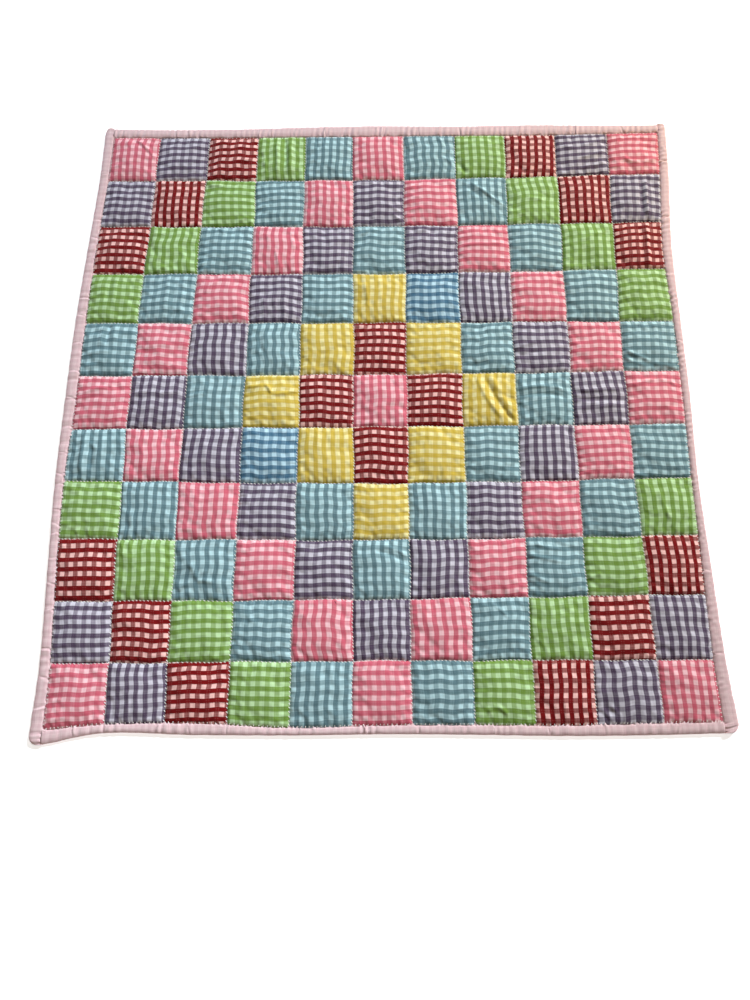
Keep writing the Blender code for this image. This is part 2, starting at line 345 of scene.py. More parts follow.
def slack_of_top():
    """How far the cloth of each point moves when the sewn top is filled, on an even lattice."""
    count = PATCHES * SLACK_CELLS + 1
    even = np.arange(count) / SLACK_CELLS
    u, v = (plan.ravel() for plan in np.meshgrid(even, even))
    x, y = on_quilt(u, v)
    rng = np.random.default_rng(5)
    lumps = crown(u % 1) * crown(v % 1)
    z = SEAM_HEIGHT + SLACK_START * MM * lumps + rng.normal(0, 0.2 * MM, len(u))
    on_seam = (np.arange(count * count) % count % SLACK_CELLS == 0) | (
        np.arange(count * count) // count % SLACK_CELLS == 0
    )
    z[on_seam] = SEAM_HEIGHT
    start = np.c_[x, y, z]
    cloth = new_piece("slack_cloth", start, grid_quads(np.arange(count * count).reshape(count, count)))
    held = cloth.vertex_groups.new(name="seams")
    held.add(np.nonzero(on_seam)[0].tolist(), 1.0, "REPLACE")
    fill = cloth.modifiers.new("Fill", "CLOTH")
    for name, value in SLACK_SETTINGS.items():
        setattr(fill.settings, name, value)
    fill.settings.effector_weights.gravity = 0
    fill.collision_settings.use_collision = False
    fill.point_cache.frame_start = 1
    fill.point_cache.frame_end = SLACK_FRAMES
    scene = bpy.context.scene
    scene.frame_start = 1
    scene.frame_end = SLACK_FRAMES
    for number in range(1, SLACK_FRAMES + 1):
        scene.frame_set(number)
    deselect_all()
    bpy.context.view_layer.objects.active = cloth
    cloth.select_set(True)
    bpy.ops.object.modifier_apply(modifier="Fill")
    filled = np.empty(count * count * 3, np.float32)
    cloth.data.vertices.foreach_get("co", filled)
    start[:, 2] = SEAM_HEIGHT
    moved = filled.reshape(-1, 3) - start
    bpy.data.objects.remove(cloth)
    scene.frame_set(1)
    limit = np.array([3.0, 3.0, 8.0]) * MM
    return np.clip(moved, -limit, limit).reshape(count, count, 3)


def spread_weights(parts):
    """Weights that read an even row of SLACK_CELLS + 1 values at parts of a square, smoothly."""
    weights = np.zeros((len(parts), SLACK_CELLS + 1))
    place = np.clip(parts * SLACK_CELLS, 0, SLACK_CELLS - 1e-9)
    first = place.astype(int)
    t = place - first
    four = np.stack(
        [
            (-t + 2 * t**2 - t**3) / 2,
            (2 - 5 * t**2 + 3 * t**3) / 2,
            (t + 4 * t**2 - 3 * t**3) / 2,
            (-(t**2) + t**3) / 2,
        ]
    )
    for step, weight in zip((-1, 0, 1, 2), four):
        at = first + step
        for row in range(len(parts)):
            if at[row] < 0:
                weights[row, 0] += 2 * weight[row]
                weights[row, 1] -= weight[row]
            elif at[row] > SLACK_CELLS:
                weights[row, SLACK_CELLS] += 2 * weight[row]
                weights[row, SLACK_CELLS - 1] -= weight[row]
            else:
                weights[row, at[row]] += weight[row]
    return weights


# How much wider a crease spreads than its table says
CREASE_SPREAD = 1.2
# Creases listed for each square, by its row and column. Each has its start and its end across
# and down the square in hundredths of it, then how far it bows to its left, its half width and its
# rise, all three in mm
CREASES = {
    (1, 1): (
        (49, 6, 100, 54, 1, 2.2, 1.5), (10, 30, 30, 4, 0, 2.2, 0.8), (30, 25, 42, 2, 0, 1.8, 0.9),
        (2, 75, 35, 62, 1, 2.2, 0.7),
    ),
    (1, 2): ((55, 35, 100, 12, -2, 2.6, 0.9), (62, 62, 100, 50, -1, 2.4, 0.7)),
    (1, 3): (
        (55, 30, 100, 22, -1, 2.2, 1), (50, 62, 100, 50, -2, 2.4, 1), (5, 12, 50, 20, 1, 2.4, 0.7),
        (60, 85, 100, 78, 0, 2, 0.7),
    ),
    (1, 4): (
        (56, 0, 58, 80, 1.5, 2.8, -2.8), (40, 5, 44, 95, 1, 3, 2.1), (72, 0, 70, 90, -1, 3.2, 2.1),
        (12, 30, 20, 95, 1, 2.4, 1.2),
    ),
    (1, 5): ((18, 2, 30, 40, 1, 2, -1), (30, 2, 42, 35, 1, 2, 0.8)),
    (1, 7): ((62, 0, 80, 32, 1, 2, 1), (70, 50, 100, 75, 1, 2.2, 0.9), (2, 30, 30, 15, 1, 2.2, 0.7)),
    (1, 8): (
        (60, 30, 100, 20, -1, 2, 0.9), (60, 55, 100, 50, -1, 2, 0.8), (0, 60, 20, 95, 2, 2.6, -1.2),
        (5, 50, 30, 30, 0, 2.2, 0.7),
    ),
    (1, 9): ((5, 28, 22, 2, 0, 2, 0.9), (35, 90, 55, 72, 0, 2, 0.9), (15, 72, 50, 95, 0, 2.2, -0.7)),
    (1, 10): (
        (45, 35, 100, 10, -3, 2.6, 1.3), (40, 62, 100, 42, -3, 2.6, 1.2), (35, 85, 100, 72, -2, 2.6, 1),
        (2, 30, 40, 42, 2, 2.6, 0.9),
    ),
    (1, 11): (
        (2, 16, 100, 10, -2, 2.2, 1), (26, 60, 62, 76, -3, 2.4, 1.2), (62, 76, 95, 62, -2, 2.4, 0.9),
        (5, 45, 95, 42, 3, 2.8, -0.5),
    ),
    (2, 1): ((5, 45, 60, 35, 2, 2.6, 0.8), (60, 12, 100, 20, 0, 2, 0.7)),
    (2, 2): ((60, 62, 100, 50, -1, 2.2, 1), (70, 80, 100, 72, 0, 2, 0.8), (5, 40, 30, 25, 0, 2, 0.7)),
    (2, 3): (
        (5, 12, 65, 16, -1, 2, 0.9), (70, 92, 100, 75, 0, 2, 1.1), (80, 98, 100, 88, 0, 1.8, 0.9),
        (70, 50, 100, 40, 0, 2, 0.6),
    ),
    (2, 4): ((50, 75, 58, 100, 0, 2, 1), (2, 62, 35, 55, 0, 2.2, 0.6)),
    (2, 6): ((75, 75, 98, 95, 1, 2, 1.3), (60, 55, 98, 75, 1, 2.2, 0.9)),
    (2, 7): ((3, 30, 25, 12, 0, 2, 0.9), (2, 72, 40, 66, 1, 2, 0.8), (2, 50, 35, 42, 1, 2.2, 0.8)),
    (2, 8): ((22, 8, 100, 66, -2, 2.2, 1.9), (15, 16, 90, 76, -2, 2.6, -0.9)),
    (2, 9): ((35, 50, 70, 58, 2, 2.2, 1.2), (55, 35, 80, 50, 1, 2.2, -0.8)),
    (2, 10): ((35, 55, 65, 30, 1, 2.2, 1.3), (50, 85, 75, 60, 1, 2.2, 0.9)),
    (2, 11): ((70, 5, 72, 100, -1, 2.6, 2), (60, 10, 62, 95, -1, 2.4, -1.6), (75, 30, 100, 20, 0, 2, 0.9)),
    (3, 1): ((5, 55, 90, 45, 3, 3, 0.9), (50, 90, 100, 80, 0, 2, 0.8)),
    (3, 2): ((2, 20, 40, 14, 0, 2, 0.8), (2, 36, 38, 30, 0, 2, 0.7), (20, 98, 42, 84, 0, 2, 1.2)),
    (3, 3): (
        (32, 5, 50, 20, 1, 2, 1.4), (0, 90, 20, 72, 0, 1.8, 1.5), (3, 100, 22, 85, 0, 1.8, 1.3),
        (70, 45, 100, 36, 0, 2, 0.9), (70, 65, 100, 58, 0, 2, 0.9), (72, 84, 100, 78, 0, 2, 0.8),
    ),
    (3, 4): (
        (46, 50, 54, 85, 1, 2, 1.3), (78, 12, 82, 50, 0, 2.2, 1), (30, 10, 34, 50, 0, 2.2, 0.8),
        (86, 60, 84, 90, 0, 2, 0.7),
    ),
    (3, 6): ((10, 20, 60, 10, 1, 2.2, 0.7),),
    (3, 7): ((15, 20, 40, 8, 0, 2, 0.8),),
    (3, 8): ((0, 46, 100, 42, -1, 2, 1.1), (10, 28, 50, 22, 0, 2.2, 0.6)),
    (3, 10): ((60, 32, 85, 22, 1, 2, 1.1), (35, 42, 60, 30, 0, 2.2, 0.7)),
    (3, 11): ((66, 2, 66, 100, 1, 2.8, 1.9), (52, 5, 54, 90, 1, 2.6, -0.9)),
    (4, 1): ((42, 10, 38, 60, -1, 2.6, -1.2), (52, 5, 50, 70, 0, 2.6, 0.9), (5, 55, 35, 40, 1, 2.2, 0.8)),
    (4, 2): ((50, 10, 48, 95, 1, 2.6, 1.2), (62, 10, 60, 90, 1, 2.4, -0.9), (78, 10, 75, 90, 1, 2.6, 1.1)),
    (4, 3): ((20, 45, 42, 15, 2, 2.2, 1.2), (40, 15, 70, 12, 1, 2, 0.8), (60, 90, 95, 80, 0, 2, 0.6)),
    (4, 4): (
        (28, 45, 30, 100, 0, 2.2, 1.1), (48, 50, 50, 100, 0, 2.2, 1.1), (66, 40, 68, 100, 0, 2.2, 1.1),
        (82, 50, 84, 100, 0, 2.2, 0.9),
    ),
    (4, 6): ((20, 10, 28, 70, 1, 2.2, 1), (50, 10, 52, 60, 0, 2.2, 0.7)),
    (4, 8): ((40, 18, 60, 4, 1, 2, 1),),
    (4, 9): ((2, 14, 30, 6, 0, 2, 1),),
    (4, 10): ((30, 40, 80, 30, 2, 2.4, 0.7),),
    (4, 11): ((35, 50, 62, 25, 1, 2.2, 1.2), (60, 85, 90, 65, 0, 2.2, 0.8)),
    (5, 1): (
        (50, 2, 46, 45, 0, 2.6, -2.3), (38, 5, 36, 50, 0, 2.6, 1.7), (62, 5, 60, 45, 0, 2.6, 1),
        (0, 65, 60, 55, 2, 2.8, 0.9),
    ),
    (5, 2): ((10, 50, 80, 45, 2, 3, 0.6),),
    (5, 4): ((24, 30, 28, 60, 0, 2, -1.2), (33, 25, 35, 60, 0, 2, 0.9)),
    (5, 8): ((2, 90, 50, 80, 1, 2.4, -0.9), (40, 20, 90, 12, 1, 2.4, 0.7)),
    (5, 9): ((2, 55, 42, 42, 1, 2.2, 1.2), (5, 68, 50, 60, 1, 2.4, -0.8)),
    (5, 11): (
        (2, 58, 50, 82, -2, 2.2, 1.5), (2, 75, 40, 92, -1, 2, 1.1), (30, 20, 80, 14, 3, 2.6, 1),
        (50, 85, 95, 95, 0, 2, 0.8),
    ),
    (6, 1): ((12, 36, 62, 24, 3, 2.4, 1.5), (62, 24, 72, 8, 0, 2.2, 1), (10, 50, 55, 42, 3, 2.4, -0.8)),
    (6, 2): ((2, 34, 100, 32, -1, 2.4, 1.1), (2, 45, 90, 44, -1, 2.6, -0.8)),
    (6, 3): ((2, 42, 35, 36, 0, 2, 1.2), (2, 60, 40, 55, 1, 2.4, 0.6)),
    (6, 4): (
        (5, 22, 38, 20, -2, 2, 1.5), (38, 20, 52, 40, 2, 1.9, 2), (52, 40, 98, 30, -2, 2.2, 1.4),
        (10, 62, 90, 55, 2, 3, 0.6),
    ),
    (6, 8): (
        (38, 0, 96, 98, -4, 3.2, -2.6), (52, 0, 100, 80, -4, 3, 1.1), (24, 3, 72, 90, -3, 2.6, 1.2),
        (62, 42, 100, 55, 2, 2.6, -0.6),
    ),
    (6, 9): ((5, 30, 98, 42, 5, 2.6, 1.9), (5, 44, 98, 56, 5, 2.6, -1.5), (30, 10, 95, 22, 2, 2.4, 0.9)),
    (6, 10): ((2, 36, 95, 36, -2, 2.8, 1.7), (2, 52, 98, 55, -2, 2.8, -1.9), (40, 72, 95, 66, 2, 2.4, 1.1)),
    (6, 11): ((5, 30, 55, 18, 2, 2.4, 1.4), (55, 18, 95, 32, 2, 2.4, 1.2)),
    (7, 1): ((42, 30, 44, 78, 1, 3, -2.4), (28, 10, 30, 90, -1, 2.8, 1.9), (60, 10, 62, 60, 0, 2.6, 0.9)),
    (7, 2): ((2, 95, 16, 70, 0, 2, 1.3), (30, 30, 36, 90, 1, 3, 0.6)),
    (7, 3): ((40, 30, 46, 90, 2, 2.8, 0.8),),
    (7, 5): ((36, 2, 38, 35, 0, 2.4, 1), (60, 2, 60, 30, 0, 2.4, 0.7)),
    (7, 11): ((2, 92, 20, 98, 0, 1.8, 1.2),),
    (8, 1): ((30, 85, 34, 100, 0, 1.8, 0.9), (50, 82, 53, 100, 0, 1.8, 0.9), (10, 40, 60, 35, 2, 2.6, 0.5)),
    (8, 2): ((24, 55, 22, 100, 0, 2, 1.2), (32, 55, 30, 100, 0, 2, -0.9)),
    (8, 11): ((36, 20, 52, 75, -2, 2.4, 1.1),),
    (9, 2): ((10, 2, 16, 30, 0, 2, 0.9), (24, 2, 28, 25, 0, 2, 0.8)),
    (9, 3): (
        (24, 40, 40, 70, 3, 2.6, 1.4), (40, 70, 70, 72, 1, 2.2, 1.4), (55, 55, 72, 72, 1, 2.4, -0.9),
        (10, 85, 30, 70, 0, 2.2, 1), (75, 30, 80, 90, 0, 2.6, 0.8),
    ),
    (9, 6): ((35, 18, 98, 45, 3, 2.2, -1.4), (45, 10, 98, 33, 3, 2.2, 1.2), (78, 98, 98, 66, 0, 2.2, 1.3)),
    (9, 9): (
        (2, 10, 62, 22, -1, 2.2, 1.3), (2, 30, 66, 42, -1, 2.2, 1.5), (2, 60, 40, 76, -1, 2.2, 1.2),
        (50, 8, 90, 16, 0, 2, 0.8),
    ),
    (9, 10): ((2, 72, 25, 62, 0, 2, 0.9),),
    (9, 11): ((42, 75, 48, 98, 0, 2, 1), (60, 30, 66, 70, 1, 2.4, 0.7)),
    (10, 1): ((5, 75, 30, 70, 0, 2, 0.8),),
    (10, 4): ((25, 30, 40, 40, 0, 2.4, 0.6),),
    (10, 8): ((36, 10, 62, 34, 1, 2, 1.3),),
    (10, 9): ((55, 2, 60, 20, 0, 2, 0.9),),
    (11, 1): ((2, 60, 30, 55, 0, 2.2, 0.8), (2, 90, 35, 82, 0, 2.2, 0.8)),
    (11, 2): ((42, 50, 36, 95, 0, 2.2, 1.1), (56, 40, 52, 90, 0, 2.4, 0.8)),
    (11, 3): ((45, 98, 60, 92, 0, 2, 0.8),),
    (11, 8): ((22, 80, 36, 70, 1, 2, 1.4), (36, 70, 55, 85, 1, 2, 1.3)),
    (11, 9): ((45, 50, 50, 95, 1, 2.6, 0.8),),
    (11, 10): ((8, 75, 25, 98, 0, 2, 1.3), (20, 68, 36, 90, 0, 2, 1)),
}


def crease_heights(row, column, x_mm, y_mm):
    """Height in mm that the listed creases add at places of one square."""
    height = np.zeros_like(x_mm)
    size = np.array([PATCH_ACROSS, PATCH_DOWN]) / MM
    for start_a, start_b, end_a, end_b, bow, half_width, rise in CREASES.get((row, column), ()):
        start = np.array((start_a, start_b)) / 100 * size
        way = np.array((end_a, end_b)) / 100 * size - start
        length = np.hypot(*way)
        way = way / length
        along = ((x_mm - start[0]) * way[0] + (y_mm - start[1]) * way[1]) / length
        aside = (x_mm - start[0]) * way[1] - (y_mm - start[1]) * way[0]
        aside = aside - bow * 4 * along * (1 - along)
        ends = np.clip(along * 5, 0, 1) * np.clip((1 - along) * 5, 0, 1)
        height += rise * ends * np.exp(-((aside / (CREASE_SPREAD * half_width)) ** 2))
    return height


# The first points beside a seam, in mm from it
CLOSE_STEPS = (0.0, 0.5, 1.3)


def square_parts(cells):
    """Parts of a square where its points lie, a little closer by the seams."""
    close = np.array(CLOSE_STEPS) * MM / PATCH_DOWN
    even = np.linspace(close[-1], 1 - close[-1], cells + 3 - 2 * len(close))
    return np.r_[close[:-1], even, 1 - close[-2::-1]]


def shape_square(row, column, sizes, slack, parts, weights):
    """Points of one square's upper face, as arrays of x, y and z."""
    block = slack[
        (row - 1) * SLACK_CELLS : row * SLACK_CELLS + 1, (column - 1) * SLACK_CELLS : column * SLACK_CELLS + 1
    ]
    moved = np.stack([weights @ block[..., axis] @ weights.T for axis in range(3)], -1)
    a, b = np.meshgrid(parts, parts)
    u, v = column - 1 + a, row - 1 + b
    x, y = (plan.reshape(a.shape) for plan in on_quilt(u.ravel(), v.ravel()))
    x = x + moved[..., 0] * sizes.slack_share
    y = y + moved[..., 1] * sizes.slack_share
    across_mm, down_mm = PATCH_ACROSS / MM, PATCH_DOWN / MM
    x_mm, y_mm = a * across_mm, b * down_mm
    from_side = {"left": x_mm, "right": across_mm - x_mm, "top": y_mm, "bottom": down_mm - y_mm}
    spacing = sizes.stitch_spacing / MM
    reach = sizes.gather_reach / MM
    swell = 0.16 * math.sin(5.0 * (row - 1) + 3.1 * (column - 1))
    fill = 1 + swell * math.cos(2.0 * (row - 1) - 1.3 * (column - 1))
    edge = np.minimum.reduce([u, v, PATCHES - u, PATCHES - v, np.ones_like(u)])
    z = RIM_TOP + (SEAM_HEIGHT - RIM_TOP) * edge + 0.9 * MM
    z = z + sizes.crown_share * PUFF_HEIGHT * fill * crown(a) * crown(b)
    z = z + sizes.slack_share * moved[..., 2]
    seams = {
        "left": (100 + column - 1, v * down_mm),
        "right": (100 + column, v * down_mm),
        "top": (200 + row - 1, u * across_mm),
        "bottom": (200 + row, u * across_mm),
    }
    for side, (seam, along) in seams.items():
        away = from_side[side]
        shared = gathers(seam, along, spacing)
        own = gathers(seam * 3 + 11, along, spacing * 1.13)
        upper = side in ("top", "right")
        lumps = shared if upper else own
        run = reach * np.maximum(0.45, 1 + 1.3 * uneven_line(seam + 31, along, 0.1, 0.6))
        z = z + sizes.gather_height * (lumps - 0.5) * np.exp(-away / run) * (1 - np.exp(-away / 0.9))
        z = z - sizes.groove_depth * (0.75 if upper else 1.0) * np.exp(-away / (sizes.groove_width / MM))
        outside = (side == "left" and column == 1) or (side == "right" and column == PATCHES)
        outside = outside or (side == "top" and row == 1) or (side == "bottom" and row == PATCHES)
        stray = (0.25 if outside else 1.1) * MM * (shared - 0.6) * np.exp(-away / 2.2)
        if side in ("left", "right"):
            x = x + stray
        else:
            y = y + stray
    z = z + sizes.crease_share * crease_heights(row, column, x_mm, y_mm) * MM
    return x, y, z


# How far the woven lines stray in a square, in mm
WEAVE_STRAY = 1.15


def weave_places(row, column, a, b):
    """Places on the cut cloth of one square in metres, the first across its darker stripes."""
    rng = np.random.default_rng(1000 + 20 * row + column)
    turn = math.radians(rng.uniform(-1.6, 1.6))
    x_mm = a * 83.0 + WEAVE_STRAY * uneven_line(3 * row + 50 * column, b * 87.0, 0.06, 0.22)
    y_mm = b * 86.0 + WEAVE_STRAY * uneven_line(5 * row + 70 * column, a * 83.0, 0.06, 0.22)
    x_mm = x_mm + 1.2 * np.sin(math.pi * b + rng.uniform(0, 6)) * rng.uniform(0, 1)
    y_mm = y_mm + 1.6 * np.sin(math.pi * a + rng.uniform(0, 6)) * rng.uniform(0, 1)
    across = x_mm * math.cos(turn) + y_mm * math.sin(turn) + rng.uniform(0, 40)
    down = y_mm * math.cos(turn) - x_mm * math.sin(turn) + rng.uniform(0, 40)
    if STRIPE_WAYS[row - 1][column - 1] == "H":
        across, down = down, across
    return across * MM, down * MM


def cloth_name(row, column):
    """The gingham that a square is cut from."""
    middle = (PATCHES + 1) // 2
    ring = abs(row - middle) + abs(column - middle)
    return ODD_CLOTHS.get((row, column), RING_CLOTHS[ring])


def square_faces(cells, under_cells):
    """Faces of one closed square: its upper face, its underside and its thin rim."""
    side = cells + 1
    upper = np.arange(side * side).reshape(side, side)
    quads = grid_quads(upper)
    under_side = under_cells + 1
    under = side * side + np.arange(under_side * under_side).reshape(under_side, under_side)
    below = np.stack([under[:-1, :-1], under[:-1, 1:], under[1:, 1:], under[1:, :-1]], -1).reshape(-1, 4)
    step = cells // under_cells
    rim = []
    edges = (
        (upper[0, :], under[0, :]),
        (upper[:, -1], under[:, -1]),
        (upper[-1, ::-1], under[-1, ::-1]),
        (upper[::-1, 0], under[::-1, 0]),
    )
    for fine, coarse in edges:
        for k in range(under_cells):
            for j in range(step):
                corner = coarse[k] if j < step // 2 else coarse[k + 1]
                rim.append((fine[k * step + j], fine[k * step + j + 1], corner))
                if j == step // 2 - 1:
                    rim.append((fine[k * step + j + 1], coarse[k + 1], coarse[k]))
    return [tuple(face) for face in quads], [tuple(face) for face in below], rim


UNDER_CELLS = 10


def make_row(row, sizes, slack, cloths, surfaces):
    """One sewn row of eleven squares, whose upper faces are kept in `surfaces`."""
    cells = sizes.cells
    parts = square_parts(cells)
    weights = spread_weights(parts)
    quads, below, rim = square_faces(cells, UNDER_CELLS)
    step = cells // UNDER_CELLS
    a, b = (part.ravel() for part in np.meshgrid(parts, parts))
    under_a, under_b = (part.ravel() for part in np.meshgrid(parts[::step], parts[::step]))
    all_a, all_b = np.r_[a, under_a], np.r_[b, under_b]
    is_upper = np.r_[np.ones(len(a), bool), np.zeros(len(under_a), bool)]
    faces_of_one = [*quads, *below, *rim]
    corners = np.array([corner for face in faces_of_one for corner in face])
    upper_corners = len(quads) * 4
    points, faces, weave, bake, slots = [], [], [], [], []
    for column in range(1, PATCHES + 1):
        x, y, z = shape_square(row, column, sizes, slack, parts, weights)
        surfaces[row, column] = np.stack([x, y, z], -1)
        low = z.copy()
        for _ in range((step + 1) // 2):
            padded = np.pad(low, 1, mode="edge")
            around = [padded[i : i + cells + 1, j : j + cells + 1] for i in range(3) for j in range(3)]
            low = np.minimum.reduce(around)
        under = np.stack([x[::step, ::step], y[::step, ::step], low[::step, ::step] - 0.5 * MM], -1)
        base = sum(len(block) for block in points)
        points.append(np.r_[np.stack([x, y, z], -1).reshape(-1, 3), under.reshape(-1, 3)])
        faces.extend(tuple(corner + base for corner in face) for face in faces_of_one)
        weave_u, weave_v = weave_places(row, column, all_a, all_b)
        weave.append(np.stack([weave_u[corners], weave_v[corners]], -1))
        # The bake's own layout has a twelfth of the map for each upper face, and the last for what is hidden
        place = column - 1
        across, up = place % 4 + 0.02 + 0.96 * all_a, place // 4 + 0.02 + 0.96 * (1 - all_b)
        whole = np.stack([across / 4, up / 3], -1)
        inset = np.where(is_upper, 0.84, 0.66)[:, None]
        small = (np.stack([all_a, 1 - all_b], -1) - 0.5) * inset + 0.5
        small = (small + (place % 4, place // 4)) / (4, 3)
        small = (small + (3, 2)) / (4, 3)
        bake.append(np.r_[whole[corners[:upper_corners]], small[corners[upper_corners:]]])
        slots.extend([cloths.index(cloth_name(row, column))] * len(faces_of_one))
    piece = new_piece(f"patch_row_{row:02d}", np.concatenate(points), faces)
    for cloth in cloths:
        piece.data.materials.append(bpy.data.materials[f"{cloth}_gingham"])
    piece.data.polygons.foreach_set("material_index", np.array(slots, np.int32))
    write_uv(piece, "Cloth", np.concatenate(weave))
    write_uv(piece, "OFBake", np.concatenate(bake))
    piece.data.uv_layers.active_index = 0
    return piece


# Reach of one stitch over an upright seam and over a level one, in mm across and down the quilt
STITCH_REACH = {"upright": (1.2, 1.3), "level": (1.7, 0.8)}
# Reach of the binding's stitches onto the squares, in mm
EDGE_REACH = 3.0
STITCH_RADIUS = 0.58 * MM
STITCH_RINGS = (0.25, 0.5, 0.75)
# Ends of one short dark thread left in the tenth row, counted in squares
DARK_THREAD = (4.695, 9.025, 4.725, 9.085)


def read_surface(surfaces, parts, u, v):
    """The point of the sewn top at a place counted in squares."""
    column, row = min(int(u), PATCHES - 1), min(int(v), PATCHES - 1)
    i = min(max(int(np.searchsorted(parts, v - row, side="right")) - 1, 0), len(parts) - 2)
    j = min(max(int(np.searchsorted(parts, u - column, side="right")) - 1, 0), len(parts) - 2)
    s = (v - row - parts[i]) / (parts[i + 1] - parts[i])
    t = (u - column - parts[j]) / (parts[j + 1] - parts[j])
    block = surfaces[row + 1, column + 1]
    upper = block[i, j] * (1 - t) + block[i, j + 1] * t
    lower = block[i + 1, j] * (1 - t) + block[i + 1, j + 1] * t
    return upper * (1 - s) + lower * s


def stitch_places(seed, length_mm, spacing_mm):
    """Where the stitches of a seam lie, in mm along it: the hollows between its gathers."""
    along = np.linspace(2.0, length_mm - 2.0, 12000)
    phase = gather_phase(seed, along, spacing_mm)
    return along[1:][np.diff(np.floor(phase)) > 0]


def stitch_ends(spacing):
    """Where every stitch starts and ends, across and down the top, counted in squares."""
    across_mm, down_mm = PATCH_ACROSS / MM, PATCH_DOWN / MM
    width_mm, height_mm = PATCHES * across_mm, PATCHES * down_mm
    ends = []
    for seam in range(1, PATCHES):
        out, down = STITCH_REACH["upright"][0] / across_mm, STITCH_REACH["upright"][1] / down_mm
        for along in stitch_places(100 + seam, height_mm, spacing):
            u, v = seam - 0.2 / across_mm, along / down_mm
            ends.append((u - out, v - down, u + out, v + down))
        out, down = STITCH_REACH["level"][0] / across_mm, STITCH_REACH["level"][1] / down_mm
        for along in stitch_places(200 + seam, width_mm, spacing):
            u, v = along / across_mm, seam + 0.2 / down_mm
            ends.append((u - out, v - down, u + out, v + down))
    out, down = EDGE_REACH / across_mm, EDGE_REACH / down_mm
    for v in stitch_places(100, height_mm, spacing) / down_mm:
        ends.append((0.001, v, out, v + 0.2 * down))
    for v in stitch_places(100 + PATCHES, height_mm, spacing) / down_mm:
        ends.append((PATCHES - 0.001, v, PATCHES - out, v - 0.2 * down))
    for u in stitch_places(200, width_mm, spacing) / across_mm:
        ends.append((u, 0.001, u - 0.2 * out, down))
    for u in stitch_places(200 + PATCHES, width_mm, spacing) / across_mm:
        ends.append((u, PATCHES - 0.001, u + 0.2 * out, PATCHES - down))
    return [*ends, DARK_THREAD]


def make_stitches(sizes, surfaces):
    """Slanting stitches of white thread over every seam and onto every edge square."""
    parts = square_parts(sizes.cells)
    ends = stitch_ends(sizes.stitch_spacing / MM)
    rng = np.random.default_rng(77)
    points, faces, bake = [], [], []
    grid = math.ceil(math.sqrt(len(ends)))
    last = 4 * (len(STITCH_RINGS) - 1)
    for number, (u_0, v_0, u_1, v_1) in enumerate(ends):
        start = read_surface(surfaces, parts, u_0, v_0)
        end = read_surface(surfaces, parts, u_1, v_1)
        way = (end - start) / np.linalg.norm(end - start)
        aside = np.cross(way, (0.0, 0.0, 1.0))
        aside = aside / np.linalg.norm(aside)
        over = np.cross(aside, way)
        radius = STITCH_RADIUS * rng.uniform(0.8, 1.15)
        base = len(points)
        points.append(start - way * radius - over * 0.4 * MM)
        for part in STITCH_RINGS:
            middle = start + (end - start) * part + over * 0.35 * MM * (1 - abs(2 * part - 1))
            for out, rise in ((1, 0), (0, 1), (-1, 0), (0, -1)):
                points.append(middle + (aside * out + over * rise * 0.8) * radius)
        points.append(end + way * radius - over * 0.4 * MM)
        corner = np.array([number % grid, number // grid]) / grid
        for k in range(4):
            here, following = base + 1 + k, base + 1 + (k + 1) % 4
            near, middle, far = 0.2 * k + 0.1, 0.2 * k + 0.2, 0.2 * k + 0.3
            faces.append((base, here, following))
            places = [(0.1, middle), (0.3, near), (0.3, far)]
            for ring in range(len(STITCH_RINGS) - 1):
                low, high, up = 0.3 + 0.2 * ring, 0.5 + 0.2 * ring, 4 * ring
                faces.append((here + up, here + up + 4, following + up + 4, following + up))
                places += [(low, near), (high, near), (high, far), (low, far)]
            faces.append((here + last, base + 13, following + last))
            places += [(0.7, near), (0.9, middle), (0.7, far)]
            bake.extend(corner + np.array(place) / grid for place in places)
    piece = new_piece("seam_stitches", points, faces)
    write_uv(piece, "OFBake", bake)
    for name in ("sewing_thread", "dark_thread"):
        piece.data.materials.append(bpy.data.materials[name])
    # The last stitch is the dark thread
    for face in piece.data.polygons[-len(faces) // len(ends) :]:
        face.material_index = 1
    return piece


def group_with(name, inputs, outputs):
    """A shader node group with named sockets."""
    group = bpy.data.node_groups.new(name, "ShaderNodeTree")
    for label, kind, value in inputs:
        socket = group.interface.new_socket(label, in_out="INPUT", socket_type=kind)
        if value is not None:
            socket.default_value = value
    for label, kind in outputs:
        group.interface.new_socket(label, in_out="OUTPUT", socket_type=kind)
    return group, group.nodes.new("NodeGroupInput"), group.nodes.new("NodeGroupOutput")


def math_node(tree, operation, first, second=None, third=None):
    """A Math node fed by sockets or numbers, returned by its output."""
    node = tree.nodes.new("ShaderNodeMath")
    node.operation = operation
    for socket, value in zip(node.inputs, (first, second, third)):
        if value is None:
            continue
        if isinstance(value, (int, float)):
            socket.default_value = value
        else:
            tree.links.new(value, socket)
    return node.outputs[0]


def mix_colours(tree, share, first, second):
    """A colour between two, returned by its output."""
    node = tree.nodes.new("ShaderNodeMix")
    node.data_type = "RGBA"
    for socket, value in ((node.inputs["Factor"], share), (node.inputs[6], first), (node.inputs[7], second)):
        if isinstance(value, (int, float, tuple)):
            socket.default_value = value
        else:
            tree.links.new(value, socket)
    return node.outputs[2]


def stripe_mask(tree, place, repeat, softness):
    """1 on the coloured stripes across a place and 0 between them, with soft edges."""
    turn = math_node(tree, "FRACT", math_node(tree, "DIVIDE", place, repeat))
    away = math_node(tree, "ABSOLUTE", math_node(tree, "SUBTRACT", turn, 0.5))
    off = math_node(tree, "MULTIPLY", away, 2.0)
    node = tree.nodes.new("ShaderNodeMapRange")
    node.interpolation_type = "SMOOTHSTEP"
    tree.links.new(off, node.inputs["Value"])
    node.inputs["From Min"].default_value = 0.5 - softness
    node.inputs["From Max"].default_value = 0.5 + softness
    node.inputs["To Min"].default_value = 1.0
    node.inputs["To Max"].default_value = 0.0
    return node.outputs["Result"]


